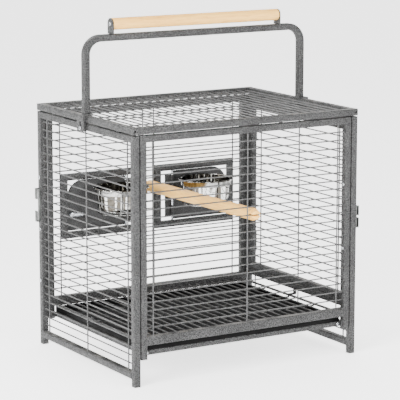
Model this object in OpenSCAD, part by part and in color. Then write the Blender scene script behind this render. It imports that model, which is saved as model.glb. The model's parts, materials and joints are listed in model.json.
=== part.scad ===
// Carrying cage for birds. Square tube frames hold welded wire grilles. It has a
// hinged door in its right side, two feeders that swing out of its back, a perch,
// a floor grate over a slide-out tray, and a handle with a wooden grip.
// Millimetres, +Z up. The front is the -Y side. The origin is on the floor, under
// the middle of the whole object.

/* [Overall] */
// Width of the cage, over its side walls
cage_w = 460; // [420:5:700]
// Depth of the cage, front to back
cage_d = 360; // [300:5:600]
// Height of the cage without its handle
cage_h = 450; // [380:5:700]

/* [Tube frames] */
// Side of the square tube
tube = 12; // [10:0.5:15]
// Rounding of the tube's long edges
tube_edge = 1.5; // [0.6:0.1:2]
// Gap between a corner post and the stile beside it
wall_gap = 1.7; // [0.8:0.1:3]
// Gap between the roof and the walls under it
roof_gap = 2; // [1:0.1:4]
// Underside of the side walls' bottom rails
side_rail_z = 13; // [6:0.5:20]
// Lower ends of the front and back stiles
stile_foot_z = 47; // [40:0.5:50]
// Height of the front and back sills
sill_h = 16; // [12:0.5:24]
// Underside of the sill below the side door
door_sill_z = 83.5; // [70:0.5:100]
// Diameter of the open hole in each front corner of the roof
corner_hole_d = 4; // [3:0.1:6]
// Distance from the cage's side to the middle of that hole
corner_hole_x = 3.6; // [3:0.1:6]

/* [Wire] */
// Diameter of the grille wire
wire_d = 2.4; // [2:0.1:3.2]
// Depth that crossing wires are welded into each other
weld_sink = 0.3; // [0.2:0.05:0.5]
// Distance between the cross wires of the walls
wall_pitch = 14.65; // [12:0.05:20]
// Distance between the cross wires of the left wall
side_pitch = 14.6; // [12:0.05:20]
// Distance from the left wall's top rail to its first cross wire
side_first = 6.6; // [4:0.1:12]
// Distance between the wires of the roof and the floor grate
mesh_pitch = 17; // [12:0.5:24]
// Distance from a front stile to the first upright wire
front_upright = 13.9; // [6:0.1:40]
// Distance from a side wall's post to the first upright wire
side_upright = 18; // [6:0.5:40]
// Distance from the side door's stile to its first upright wire
door_upright = 23.5; // [6:0.5:40]
// Diameter of the floor grate's wire
grate_wire_d = 3; // [2.4:0.1:4]

/* [Floor] */
// Underside of the base ring
ring_z = 51; // [50:0.5:60]
// Side of the base ring's square bar
ring_bar = 9; // [7:0.5:12]
// Distance that the base ring's side bars reach behind the stiles
ring_lap = 1.7; // [0:0.1:2]
// Height of the tray
tray_h = 9.4; // [7:0.1:14]
// Wall of the tray
tray_wall = 1.5; // [1:0.1:2.5]
// Gap between the tray and the base ring that it slides on
tray_under = 0.3; // [0.2:0.05:1]
// Gap between the tray and the sill that it passes under
tray_over = 1.3; // [0.6:0.1:3]
// Gap between the tray and the stiles that it passes between
tray_side = 0.8; // [0.5:0.1:3]
// Gap between the tray's rim and the floor grate
grate_gap = 0.8; // [0.5:0.1:2]
// Gap between the floor grate and the walls in front of it and behind it
grate_end = 1; // [0.6:0.1:4]
// Number of cross wires under the floor grate
grate_cross = 5; // [3:1:9]
// Length of a spacer clip on the floor grate's edge
clip_l = 10; // [6:0.5:20]
// Height of the spacer clip above the grate
clip_h = 9; // [6:0.5:14]

/* [Side door] */
// Gap between the door and the posts beside it
door_gap = 1.5; // [1:0.1:3]
// Gap between the door and the sill under it
door_under = 0.5; // [0.4:0.1:2]
// Gap between the door and the rail over it
door_over = 2; // [1:0.1:4]
// Height of a hinge
hinge_h = 40; // [24:1:60]
// Distance from the door's end to the middle of a hinge
hinge_inset = 54; // [40:1:70]
// Outer diameter of a hinge's knuckles
knuckle_d = 5; // [4.4:0.1:7]
// Diameter of a hinge pin
hinge_pin_d = 2.5; // [2:0.1:3]
// Thickness of a hinge leaf
leaf_t = 1.5; // [1:0.1:2]
// Radial clearance of pins and pivots in their bores
pin_fit = 0.05; // [0.02:0.01:0.1]
// Height of the middle of the door's latch
latch_z = 253; // [200:1:300]
// Height of the door's sliding bolt
bolt_h = 36; // [24:1:44]
// Thickness of the door's sliding bolt
bolt_t = 2.8; // [2:0.1:4]
// Length of the door's sliding bolt
bolt_l = 16; // [12:0.5:20]
// Travel of the door's sliding bolt
bolt_travel = 10; // [6:0.5:10]
// Length of the lips that the bolt slides behind
keeper_l = 7; // [5:0.5:9]
// Diameter of the bolt's knob
knob_d = 8; // [5:0.5:8]
// Length of the bolt's knob
knob_l = 14; // [8:0.5:20]
// Thickness of the latch's plates and lips
latch_t = 1.5; // [1:0.1:2]

/* [Feeders] */
// Underside of the feeder frames
feeder_z = 194; // [150:1:200]
// Height of the feeder frames
feeder_h = 121; // [110:1:140]
// Gap between the two feeder frames
feeder_between = 26; // [20:1:60]
// Distance between a feeder frame and the back stile
feeder_margin = 18.3; // [12:0.1:40]
// Depth of the feeder frames
feeder_t = 8; // [7:0.5:10]
// Thickness of a feeder's panel
panel_t = 1.5; // [1:0.1:2]
// Gap between a feeder's panel and its frame
panel_gap = 1.5; // [1:0.1:3]
// Gap between the panel and its frame on the pivot's side
panel_pivot_gap = 11.5; // [4:0.5:14]
// Distance from the panel's edge to the pivot
pivot_inset = 14; // [12:0.5:28]
// Height of the notches in the panel's pivot side
notch_h = 5.5; // [4:0.5:12]
// Rounding of the panel's free top corner
panel_corner = 32; // [10:1:40]
// Diameter of a feeder's pivot rod
pivot_d = 4; // [3:0.1:4]
// Length of the barrels that turn on the pivot rod
barrel_l = 20; // [10:1:30]
// Thickness of the barrels' wall
barrel_wall = 0.85; // [0.7:0.05:1.2]
// Distance along the panel from the pivot to the middle of the bowl
bowl_offset = 40.5; // [34:0.5:50]
// Gap left beside the bowl when it swings out
bowl_swing_gap = 2; // [1.5:0.1:6]
// Gap between the bowl's rim and the plane of the feeder frame
bowl_back_gap = 1.5; // [1:0.1:4]
// Depth of a bowl
bowl_depth = 44; // [30:1:50]
// Distance from a feeder frame's top edge down to the bowl's rim
bowl_drop = 22; // [16:1:30]
// Width of the bowl's flat rim
bowl_rim = 6; // [3:0.5:8]
// Thickness of the bowl's steel
bowl_t = 1; // [0.6:0.1:1.5]
// Rounding of the bowl's lower corner
bowl_corner = 11; // [4:0.5:16]
// Narrowing of the bowl's wall towards its foot
bowl_draft = 2; // [0:0.5:6]
// Height of the holder's band
band_h = 10; // [6:0.5:14]
// Thickness of the holder's band
band_t = 1.5; // [1:0.1:2]
// Distance that the holder's lower ring lies inside the bowl's wall
holder_inset = 1; // [0.5:0.5:4]
// Radial gap between the bowl and its holder
bowl_fit = 1.25; // [0.6:0.05:2]
// Height of the lever's boss over the underside of its frame
lever_height = 44; // [20:1:60]
// Length of the feeder latch's lever
lever_l = 23; // [18:0.5:26]
// Width of the lever
lever_w = 8; // [5:0.5:10]
// Thickness of the lever
lever_t = 2; // [1.5:0.1:2.5]

/* [Perch] */
// Diameter of the perch
perch_d = 22; // [14:1:26]
// Diameter of the perch's ends
tenon_d = 16; // [10:0.5:18]
// Length of the perch's ends
tenon_l = 8; // [6:0.5:8]
// Height near which the perch hangs on the wires
perch_height = 278; // [220:1:300]
// Sideways place of the perch's front end from the middle
perch_front_x = 16; // [13:0.5:40]
// Sideways place of the perch's back end from the middle
perch_back_x = 0; // [-2:0.5:2]

/* [Handle] */
// Height of the handle's bar over the roof, to its top
handle_rise = 139.5; // [110:0.5:200]
// Outer bend radius of the handle
handle_bend = 34; // [26:1:60]
// Diameter of the wooden grip
grip_d = 21; // [16:0.5:26]
// Gap between the grip and the bar
grip_gap = 7; // [5:0.5:20]
// Distance from the end of the handle to a grip plate
grip_inset = 55.5; // [50:0.5:100]
// Thickness of the grip plates
grip_plate_t = 2; // [1.5:0.1:3]
// Width of the handle's brackets
bracket_w = 25; // [20:0.5:30]
// Distance that the brackets stand out from the walls
bracket_out = 6; // [4:0.5:7]
// Height of the brackets
bracket_h = 28.5; // [24:0.5:32]
// Thickness of the brackets' steel
bracket_t = 1.5; // [1.2:0.1:2]

/* [Fasteners] */
// Distances from the walls' tops down to the front screws
front_screw_drops = [236.4, 122.5]; // [80:0.1:380]
// Distances from the walls' tops down to the back screws
back_screw_drops = [315, 218.5, 122]; // [80:0.1:380]
// Diameter of the frame screws
screw_d = 3.9; // [3:0.1:4]
// Radial clearance of the frame screws
screw_fit = 0.1; // [0.05:0.01:0.2]
// Diameter of the frame screws' heads
head_d = 7; // [6:0.1:8]
// Height of the frame screws' heads
head_h = 1.8; // [1.4:0.1:2.4]
// Thickness of the plug under each leg
plug_t = 1.5; // [1:0.1:3]
// Depth of the plug in its leg
plug_l = 12; // [6:0.5:20]
// Wall of the tube around the plug
tube_wall = 1; // [0.8:0.1:1.5]
// Distance that the strap hooks stand out from the wall
hook_out = 7.5; // [6:0.5:10]

/* [Hidden] */
$fn = 48;

// Finishes
coat = [0.55, 0.55, 0.54];
wire_grey = [0.66, 0.66, 0.65];
dark_panel = [0.3, 0.31, 0.32];
zinc = [0.78, 0.79, 0.8];
steel = [0.85, 0.86, 0.87];
timber = [0.91, 0.79, 0.62];
black = [0.1, 0.1, 0.11];

// Heights of the walls, the floor and the sills
wall_top = cage_h - tube - roof_gap;
rail_bottom = wall_top - tube;
side_rail_top = side_rail_z + tube;
ring_top = ring_z + ring_bar;
tray_z = ring_top + tray_under;
sill_z = tray_z + tray_h + tray_over;
sill_top = sill_z + sill_h;
grate_z = tray_z + tray_h + grate_gap;
door_sill_top = door_sill_z + tube;

// Places across the cage
mid_x = cage_w / 2;
mid_y = cage_d / 2;
stile_x = tube + wall_gap;
stile_in = stile_x + tube;
side_x = stile_in - ring_lap;

// Wires
wire_shift = (wire_d - weld_sink) / 2;
wall_rungs = spread(sill_top, rail_bottom, wall_pitch);

// Floor grate, to the middle of its edge wires
grate_x = [side_x + grate_wire_d / 2 + 0.5, cage_w - side_x - grate_wire_d / 2 - 0.5];
grate_y = [tube + grate_end, cage_d - tube - grate_end];

// Side door
door_y = [tube + door_gap, cage_d - tube - door_gap];
door_z = [door_sill_top + door_under, rail_bottom - door_over];
hinge_x = cage_w + knuckle_d / 2 + 0.1;
hinge_y = cage_d - tube - door_gap / 2;
hinge_zs = [door_z[0] + hinge_inset, door_z[1] - hinge_inset];
knuckle_gap = 0.3;
knuckle_split = hinge_h / 3;
bolt_x = cage_w + latch_t + 0.2;
bolt_lip_x = bolt_x + bolt_t + 0.3;
bolt_y = door_y[0] - 0.5;
keeper_y = bolt_y - bolt_travel - 2;
latch_reach = bolt_x + bolt_t + knob_l - cage_w;

// Feeders, drawn for the right one and mirrored for the left one
feeder_w = (cage_w - 2 * stile_in - feeder_between - 2 * feeder_margin) / 2;
feeder_x = mid_x + feeder_between / 2;
feeder_y = cage_d - tube / 2 - feeder_t / 2;
feeder_top = feeder_z + feeder_h;
open_x = [feeder_x + tube, feeder_x + feeder_w - tube];
open_z = [feeder_z + tube, feeder_top - tube];
panel_x = [open_x[0] + panel_pivot_gap, open_x[1] - panel_gap];
panel_z = [open_z[0] + panel_gap, open_z[1] - panel_gap];
panel_y = feeder_y + feeder_t - 1 - panel_t;
barrel_r = pivot_d / 2 + pin_fit + barrel_wall;
pivot_x = panel_x[0] + pivot_inset;
pivot_y = panel_y - barrel_r + weld_sink;
// The bowl is the largest that swings past the frame's far side
bowl_back = pivot_y - feeder_y + bowl_back_gap;
swing_r = open_x[1] - pivot_x - bowl_swing_gap;
bowl_r = (swing_r * swing_r - bowl_offset * bowl_offset - bowl_back * bowl_back)
    / (2 * swing_r + 2 * bowl_back);
bowl_x = pivot_x + bowl_offset;
bowl_y = feeder_y - bowl_back_gap - bowl_r;
bowl_z = feeder_top - bowl_drop;
bowl_body_r = bowl_r - bowl_rim;
band_r = bowl_body_r + bowl_fit;
lever_boss_d = 9;
lever_x = panel_x[1] - lever_boss_d / 2 - 2;
lever_z = feeder_z + lever_height;
lever_y = feeder_y - 1 - lever_t;

// Perch
perch_z = wall_rungs[round((perch_height - sill_top) / (wall_rungs[1] - wall_rungs[0])) - 1];
kerf = wire_d + 0.6;
perch_shoulder = tube / 2 + wire_shift + wire_d / 2 + 0.3;

// Handle
bar_top = cage_h + handle_rise;
leg_z = cage_h + bracket_t;
grip_z = bar_top + grip_gap + grip_d / 2;
bracket_z = leg_z - bracket_h;
bracket_screw_z = bracket_z + 5;

// Screws along the posts, the front ones midway between two cross wires
front_screw_zs = [for (drop = front_screw_drops) between_rungs(wall_top - drop)];
back_screw_zs = [for (drop = back_screw_drops) wall_top - drop];
hole_d = screw_d + 2 * screw_fit;
post_grip = 8;
base_screw_x = stile_in + head_d / 2 + 0.3;
back_screw_grip = tube + wall_gap + post_grip;
top_screw_ys = [60, cage_d - 60];

// Middle of the object's outermost pieces
reach_left = max(hook_out, bracket_out + head_h);
origin_x = (cage_w + latch_reach - reach_left) / 2;
origin_y = mid_y;

// The height nearest to z that is midway between two cross wires of the walls
function between_rungs(z) =
    let (pitch = wall_rungs[1] - wall_rungs[0])
    wall_rungs[0] + (round((z - wall_rungs[0]) / pitch - 0.5) + 0.5) * pitch;

// Evenly spread places between two ends, which are left out
function spread(lo, hi, pitch) =
    let (n = round((hi - lo) / pitch))
    [for (k = [1 : n - 1]) lo + (hi - lo) * k / n];

// Places at an exact pitch, centred between two ends
function centred(lo, hi, pitch) =
    let (n = floor((hi - lo - wire_d) / pitch))
    [for (k = [0 : n]) (lo + hi) / 2 + (k - n / 2) * pitch];

function arc(r, from, to, steps) =
    [for (k = [0 : steps]) let (a = from + (to - from) * k / steps) [r * cos(a), r * sin(a)]];

function shifted(points, by) = [for (p = points) p + by];

// Everything is drawn from the cage's front left corner on the floor
module from_corner() {
    translate([-origin_x, -origin_y, 0]) children();
}

// The same pieces on the other side of the middle plane
module on_left() {
    translate([cage_w, 0, 0]) mirror([1, 0, 0]) children();
}

module bar_section(w, h, edge) {
    polygon(concat(
        shifted(arc(edge, 180, 270, 3), [edge, edge]),
        shifted(arc(edge, 270, 360, 3), [w - edge, edge]),
        shifted(arc(edge, 0, 90, 3), [w - edge, h - edge]),
        shifted(arc(edge, 90, 180, 3), [edge, h - edge])));
}

// Bars along each axis, from their lowest corner, w wide and h high
module bar_z(length, w = tube, h = tube, edge = tube_edge) {
    linear_extrude(length) bar_section(w, h, edge);
}

module bar_x(length, w = tube, h = tube, edge = tube_edge) {
    rotate([90, 0, 90]) bar_z(length, w, h, edge);
}

module bar_y(length, w = tube, h = tube, edge = tube_edge) {
    translate([0, length, 0]) rotate([90, 0, 0]) bar_z(length, w, h, edge);
}

// A straight wire, eight-sided, with its flats square to the axes
module wire_z(length, d = wire_d) {
    rotate([0, 0, 22.5]) cylinder(h = length, r = d / 2 / cos(22.5), $fn = 8);
}

module wire_x(length, d = wire_d) {
    rotate([0, 90, 0]) wire_z(length, d);
}

module wire_y(length, d = wire_d) {
    rotate([-90, 0, 0]) wire_z(length, d);
}

// A welded grille in the XZ plane: rungs behind, uprights on its -Y side
module grille(xs, zs, uprights, rungs) {
    for (z = rungs) translate([xs[0], wire_shift, z]) wire_x(xs[1] - xs[0]);
    for (x = uprights) translate([x, -wire_shift, zs[0]]) wire_z(zs[1] - zs[0]);
}

// A pan head screw along +X with its head at negative x
module screw_x(length, d = screw_d, head = head_d, tall = head_h) {
    rotate([0, 90, 0]) cylinder(h = length, d = d);
    difference() {
        translate([-tall, 0, 0]) rotate([0, 90, 0]) cylinder(h = tall, d1 = head * 0.8, d2 = head);
        translate([-tall - 1, 0, 0]) rotate([0, 90, 0]) cylinder(h = 1 + tall / 2, d = head * 0.42, $fn = 6);
    }
}

module hole_x(length, d = hole_d) {
    rotate([0, 90, 0]) cylinder(h = length, d = d);
}

// A post with a socket for its plug
module post() {
    difference() {
        translate([0, 0, plug_t]) bar_z(wall_top - plug_t);
        translate([tube_wall, tube_wall, plug_t - 1])
            cube([tube - 2 * tube_wall, tube - 2 * tube_wall, plug_l + 2]);
    }
}

// The two posts and the rails of a side wall, for the left wall
module side_wall() {
    for (y = [0, cage_d - tube]) translate([0, y, 0]) post();
    for (z = [side_rail_z, rail_bottom]) translate([0, tube, z]) bar_y(cage_d - 2 * tube);
}

module side_wall_holes() {
    for (z = front_screw_zs) translate([tube - post_grip - 1, tube / 2, z]) hole_x(post_grip + 2);
    for (z = back_screw_zs) translate([-1, cage_d - tube / 2, z]) hole_x(tube + 2);
    for (y = top_screw_ys) translate([tube / 2, y, rail_bottom - 1]) {
        cylinder(h = tube + 2, d = hole_d);
        cylinder(h = 1 + head_h + 0.4, d = head_d + 0.4);
    }
    translate([-1, mid_y, bracket_screw_z]) hole_x(post_grip + 1);
}

module left_side_frame() color(coat) from_corner() difference() {
    side_wall();
    side_wall_holes();
}

module left_side_grille() color(wire_grey) from_corner() {
    n = floor((rail_bottom - side_first - side_rail_top - wire_d) / side_pitch);
    translate([tube / 2, 0, 0]) rotate([0, 0, 90]) mirror([0, 1, 0])
        grille([tube, cage_d - tube], [side_rail_top, rail_bottom],
            [tube + side_upright, mid_y, cage_d - tube - side_upright],
            [for (k = [0 : n]) rail_bottom - side_first - k * side_pitch]);
}

module right_side_frame() color(coat) from_corner() on_left() difference() {
    union() {
        side_wall();
        translate([0, tube, door_sill_z]) bar_y(cage_d - 2 * tube);
    }
    side_wall_holes();
}

module right_lower_grille() color(wire_grey) from_corner() on_left()
    translate([tube / 2, 0, 0]) rotate([0, 0, 90]) mirror([0, 1, 0])
        grille([tube, cage_d - tube], [side_rail_top, door_sill_z],
            [tube + side_upright, mid_y, cage_d - tube - side_upright],
            spread(side_rail_top, door_sill_z, wall_pitch));

// Two stiles, a top rail and a sill, at y from 0 to tube
module end_wall() {
    for (x = [stile_x, cage_w - stile_in])
        translate([x, 0, stile_foot_z]) bar_z(wall_top - stile_foot_z);
    translate([stile_in, 0, rail_bottom]) bar_x(cage_w - 2 * stile_in);
    translate([stile_in, 0, sill_z]) bar_x(cage_w - 2 * stile_in, h = sill_h);
}

module front_frame() color(coat) from_corner() difference() {
    end_wall();
    for (z = front_screw_zs, x = [stile_x - 1, cage_w - stile_in - 1])
        translate([x, tube / 2, z]) hole_x(tube + 2);
}

module front_grille() color(wire_grey) from_corner() translate([0, tube / 2, 0])
    grille([stile_in, cage_w - stile_in], [sill_top, rail_bottom],
        [stile_in + front_upright, mid_x, cage_w - stile_in - front_upright], wall_rungs);

module back_frame() color(coat) from_corner() difference() {
    translate([0, cage_d, 0]) mirror([0, 1, 0]) end_wall();
    for (z = back_screw_zs) {
        translate([stile_x - 1, cage_d - tube / 2, z]) hole_x(post_grip + 1);
        translate([cage_w - stile_x - post_grip, cage_d - tube / 2, z]) hole_x(post_grip + 1);
    }
}

// Upright wires that stand beside the feeder frames
function feeder_uprights() = let (left = cage_w - feeder_x) [
    left - feeder_w - wire_d / 2, left + wire_d / 2,
    feeder_x - wire_d / 2, feeder_x + feeder_w + wire_d / 2];

module back_grille(xs, zs, uprights, rungs) {
    from_corner() translate([0, cage_d - tube / 2, 0]) mirror([0, 1, 0])
        grille(xs, zs, uprights, rungs);
}

module back_grille_upper() color(wire_grey)
    back_grille([stile_in, cage_w - stile_in], [feeder_top, rail_bottom], feeder_uprights(),
        [for (z = wall_rungs) if (z > feeder_top + wire_d) z]);

module back_grille_lower() color(wire_grey)
    back_grille([stile_in, cage_w - stile_in], [sill_top, feeder_z], feeder_uprights(),
        [for (z = wall_rungs) if (z < feeder_z - wire_d) z]);

module back_grille_columns() color(wire_grey) {
    rungs = [for (z = wall_rungs) if (z > feeder_z + wire_d && z < feeder_top - wire_d) z];
    ups = feeder_uprights();
    zs = [feeder_z, feeder_top];
    back_grille([stile_in, ups[0] + wire_d / 2], zs, [ups[0]], rungs);
    back_grille([ups[1] - wire_d / 2, ups[2] + wire_d / 2], zs, [ups[1], ups[2]], rungs);
    back_grille([ups[3] - wire_d / 2, cage_w - stile_in], zs, [ups[3]], rungs);
}

module top_frame() color(coat) from_corner() difference() {
    translate([0, 0, cage_h - tube]) {
        for (y = [0, cage_d - tube]) translate([0, y, 0]) bar_x(cage_w);
        for (x = [0, cage_w - tube]) translate([x, tube, 0]) bar_y(cage_d - 2 * tube);
    }
    for (x = [tube / 2, cage_w - tube / 2], y = top_screw_ys)
        translate([x, y, cage_h - tube - 1]) cylinder(h = post_grip + 1, d = hole_d);
    for (x = [corner_hole_x, cage_w - corner_hole_x])
        translate([x, -1, cage_h - tube / 2]) rotate([-90, 0, 0])
            cylinder(h = post_grip, d = corner_hole_d);
}

module top_grille() color(wire_grey) from_corner() translate([0, 0, cage_h - tube / 2]) {
    for (x = centred(tube + 2, cage_w - tube - 2, mesh_pitch))
        translate([x, tube, wire_shift]) wire_y(cage_d - 2 * tube);
    for (y = [tube + side_upright, mid_y, cage_d - tube - side_upright])
        translate([tube, y, -wire_shift]) wire_x(cage_w - 2 * tube);
}

module top_spacers() color(black) from_corner()
    for (x = [tube / 2, cage_w - tube / 2], y = top_screw_ys)
        translate([x, y, wall_top]) difference() {
            cylinder(h = roof_gap, d = tube - 2);
            translate([0, 0, -1]) cylinder(h = roof_gap + 2, d = hole_d);
        }

module top_screws() color(zinc) from_corner()
    for (x = [tube / 2, cage_w - tube / 2], y = top_screw_ys)
        translate([x, y, rail_bottom + head_h + 0.4]) rotate([0, -90, 0])
            screw_x(wall_top + roof_gap + post_grip - rail_bottom - head_h - 1);

// Screws from the front stiles' inner faces into the posts
module front_screws() color(zinc) from_corner() for (z = front_screw_zs) {
    on_left() front_screw(z);
    front_screw(z);
}

module front_screw(z) {
    translate([stile_in, tube / 2, z]) mirror([1, 0, 0]) screw_x(tube + wall_gap + post_grip - 1);
}

// Screws from the back posts' outer faces into the stiles
module back_screws() color(zinc) from_corner() for (z = back_screw_zs) {
    on_left() translate([0, cage_d - tube / 2, z]) screw_x(back_screw_grip - 1);
    translate([0, cage_d - tube / 2, z]) screw_x(back_screw_grip - 1);
}

module leg_plugs() color(black) from_corner()
    for (x = [0, cage_w - tube], y = [0, cage_d - tube]) translate([x, y, 0]) {
        bar_z(plug_t);
        translate([tube_wall + 0.1, tube_wall + 0.1, plug_t - 0.5])
            cube([tube - 2 * tube_wall - 0.2, tube - 2 * tube_wall - 0.2, plug_l + 0.5]);
    }

module base_ring() color(coat) from_corner() difference() {
    translate([0, 0, ring_z]) {
        for (y = [tube, cage_d - tube - ring_bar])
            translate([stile_x, y, 0]) bar_x(cage_w - 2 * stile_x, ring_bar, ring_bar);
        for (x = [side_x, cage_w - side_x - ring_bar])
            translate([x, tube + ring_bar, 0])
                bar_y(cage_d - 2 * tube - 2 * ring_bar, ring_bar, ring_bar);
    }
    for (x = [base_screw_x, cage_w - base_screw_x])
        translate([x, tube - 1, ring_z + ring_bar / 2]) rotate([0, 0, 90])
            hole_x(ring_bar + post_grip + 1);
}

module base_screws() color(zinc) from_corner()
    for (x = [base_screw_x, cage_w - base_screw_x])
        translate([x, tube, ring_z + ring_bar / 2]) rotate([0, 0, 90])
            screw_x(ring_bar + post_grip - 1);

// Handle
module handle_tube() color(coat) from_corner() translate([0, mid_y - tube / 2, 0]) {
    bend_z = bar_top - handle_bend;
    for (x = [0, cage_w - tube]) translate([x, 0, leg_z]) bar_z(bend_z - leg_z);
    translate([handle_bend, 0, bar_top - tube]) bar_x(cage_w - 2 * handle_bend);
    translate([handle_bend, tube, bend_z]) rotate([90, 0, 0]) handle_corner();
    translate([cage_w - handle_bend, 0, bend_z]) rotate([90, 0, 180]) handle_corner();
}

module handle_corner() {
    rotate([0, 0, 90]) rotate_extrude(angle = 90)
        translate([handle_bend - tube, 0]) bar_section(tube, tube, tube_edge);
}

module handle_bracket() {
    difference() {
        union() {
            translate([-bracket_out, mid_y - bracket_w / 2, bracket_z])
                cube([bracket_t, bracket_w, bracket_h]);
            for (y = [-bracket_w / 2, bracket_w / 2 - bracket_t])
                translate([-bracket_out, mid_y + y, bracket_z])
                    cube([bracket_out, bracket_t, cage_h - bracket_z]);
            translate([-bracket_out, mid_y - bracket_w / 2, cage_h])
                cube([bracket_out + tube + 1.5, bracket_w, bracket_t]);
        }
        translate([-bracket_out - 1, mid_y, bracket_screw_z]) hull() {
            hole_x(bracket_t + 2);
            translate([0, 0, 10]) hole_x(bracket_t + 2);
        }
    }
}

module handle_bracket_left() color(coat) from_corner() handle_bracket();

module handle_bracket_right() color(coat) from_corner() on_left() handle_bracket();

module handle_screws() color(zinc) from_corner() {
    on_left() translate([-bracket_out, mid_y, bracket_screw_z]) screw_x(bracket_out + post_grip - 1);
    translate([-bracket_out, mid_y, bracket_screw_z]) screw_x(bracket_out + post_grip - 1);
}

module grip_plate() {
    translate([grip_inset, mid_y, 0]) rotate([90, 0, 90]) linear_extrude(grip_plate_t)
        difference() {
            union() {
                translate([0, grip_z]) circle(d = grip_d);
                translate([-grip_d / 2, bar_top]) square([grip_d, grip_gap + grip_d / 2]);
            }
            translate([0, grip_z]) circle(d = hole_d);
        }
}

module grip_plates() color(coat) from_corner() {
    grip_plate();
    on_left() grip_plate();
}

module grip() color(timber) from_corner() {
    start = grip_inset + grip_plate_t;
    edge = 1;
    translate([start, mid_y, grip_z]) rotate([0, 90, 0]) difference() {
        rotate_extrude() polygon([[0, 0], [grip_d / 2 - edge, 0], [grip_d / 2, edge],
            [grip_d / 2, cage_w - 2 * start - edge], [grip_d / 2 - edge, cage_w - 2 * start],
            [0, cage_w - 2 * start]]);
        for (z = [-1, cage_w - 2 * start - 24]) translate([0, 0, z]) cylinder(h = 25, d = hole_d);
    }
}

module grip_screws() color(zinc) from_corner() {
    translate([grip_inset, mid_y, grip_z]) screw_x(grip_plate_t + 22);
    on_left() translate([grip_inset, mid_y, grip_z]) screw_x(grip_plate_t + 22);
}

// Perch, turned a little in plan, with a kerf at each end that holds a wire
module perch() color(timber) from_corner() {
    front = [mid_x + perch_front_x, perch_shoulder];
    back = [mid_x + perch_back_x, cage_d - perch_shoulder];
    run = back - front;
    length = norm(run);
    edge = 0.8;
    translate([front[0], front[1], perch_z]) rotate([0, 0, -atan2(run[0], run[1])])
        difference() {
            rotate([-90, 0, 0]) {
                rotate_extrude() polygon([[0, 0], [perch_d / 2 - edge, 0], [perch_d / 2, edge],
                    [perch_d / 2, length - edge], [perch_d / 2 - edge, length], [0, length]]);
                translate([0, 0, -tenon_l]) cylinder(h = length + 2 * tenon_l, d = tenon_d);
            }
            for (y = [-tenon_l - 1, length - wire_d / 2])
                translate([-tenon_d, y, -kerf / 2])
                    cube([2 * tenon_d, tenon_l + 1 + wire_d / 2, kerf]);
        }
}

// Feeders
module feeder_ring() {
    difference() {
        translate([feeder_x, feeder_y, feeder_z]) cube([feeder_w, feeder_t, feeder_h]);
        translate([open_x[0], feeder_y - 1, open_z[0]])
            cube([open_x[1] - open_x[0], feeder_t + 2, open_z[1] - open_z[0]]);
        translate([pivot_x, pivot_y, open_z[0] - post_grip])
            cylinder(h = open_z[1] - open_z[0] + 2 * post_grip, d = pivot_d + 2 * pin_fit);
    }
}

module feeder_frame_right() color(coat) from_corner() feeder_ring();

module feeder_frame_left() color(coat) from_corner() on_left() feeder_ring();

module feeder_pivot() {
    translate([pivot_x, pivot_y, open_z[0] - post_grip + 1])
        cylinder(h = open_z[1] - open_z[0] + 2 * post_grip - 2, d = pivot_d);
}

module feeder_pivot_right() color(zinc) from_corner() feeder_pivot();

module feeder_pivot_left() color(zinc) from_corner() on_left() feeder_pivot();

module feeder_panel() {
    w = panel_x[1] - panel_x[0];
    h = panel_z[1] - panel_z[0];
    barrel_z = [notch_h + 2, h - notch_h - 2 - barrel_l];
    difference() {
        union() {
            translate([panel_x[0], panel_y + panel_t, panel_z[0]]) rotate([90, 0, 0])
                linear_extrude(panel_t) polygon(concat(
                    [[0, notch_h], [pivot_inset, notch_h], [pivot_inset, 0], [w, 0]],
                    shifted(arc(panel_corner, 0, 90, 8), [w - panel_corner, h - panel_corner]),
                    [[pivot_inset, h], [pivot_inset, h - notch_h], [0, h - notch_h]]));
            for (z = barrel_z) translate([pivot_x, pivot_y, panel_z[0] + z])
                cylinder(h = barrel_l, r = barrel_r);
        }
        translate([pivot_x, pivot_y, panel_z[0] - 1]) cylinder(h = h + 2, d = pivot_d + 2 * pin_fit);
        translate([lever_x, panel_y - 1, lever_z]) rotate([-90, 0, 0])
            cylinder(h = panel_t + 2, d = hole_d);
    }
}

module feeder_panel_right() color(dark_panel) from_corner() feeder_panel();

module feeder_panel_left() color(dark_panel) from_corner() on_left() feeder_panel();

// A flat band under the bowl's rim, a lower ring, and the leaning wires that join them
module bowl_holder() {
    low_z = bowl_z - bowl_depth - wire_d - 0.6;
    band_z = bowl_z - bowl_t - 0.2 - band_h;
    ring_r = band_r + band_t / 2;
    low_r = bowl_body_r - bowl_draft - holder_inset;
    lean = [ring_r - low_r, band_z + 1 - low_z];
    side = low_r * 0.4;
    band_reach = sqrt(ring_r * ring_r - side * side);
    low_reach = sqrt(low_r * low_r - side * side);
    translate([bowl_x, bowl_y, 0]) {
        translate([0, 0, band_z]) rotate_extrude()
            translate([band_r, 0]) square([band_t, band_h]);
        translate([0, 0, low_z]) rotate_extrude()
            translate([low_r - wire_d / 2, -wire_d / 2]) square([wire_d, wire_d]);
        for (a = [0 : 60 : 359]) rotate([0, 0, a]) translate([low_r, 0, low_z])
            rotate([0, atan2(lean[0], lean[1]), 0]) wire_z(norm(lean), band_t - 0.2);
        for (x = [-side, side]) {
            translate([x - band_t / 2, band_reach, band_z])
                cube([band_t, panel_y - bowl_y - band_reach, band_h]);
            translate([x, low_reach, low_z]) wire_y(panel_y - bowl_y - low_reach, wire_d - 0.2);
        }
    }
}

module bowl_holder_right() color(zinc) from_corner() bowl_holder();

module bowl_holder_left() color(zinc) from_corner() on_left() bowl_holder();

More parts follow.
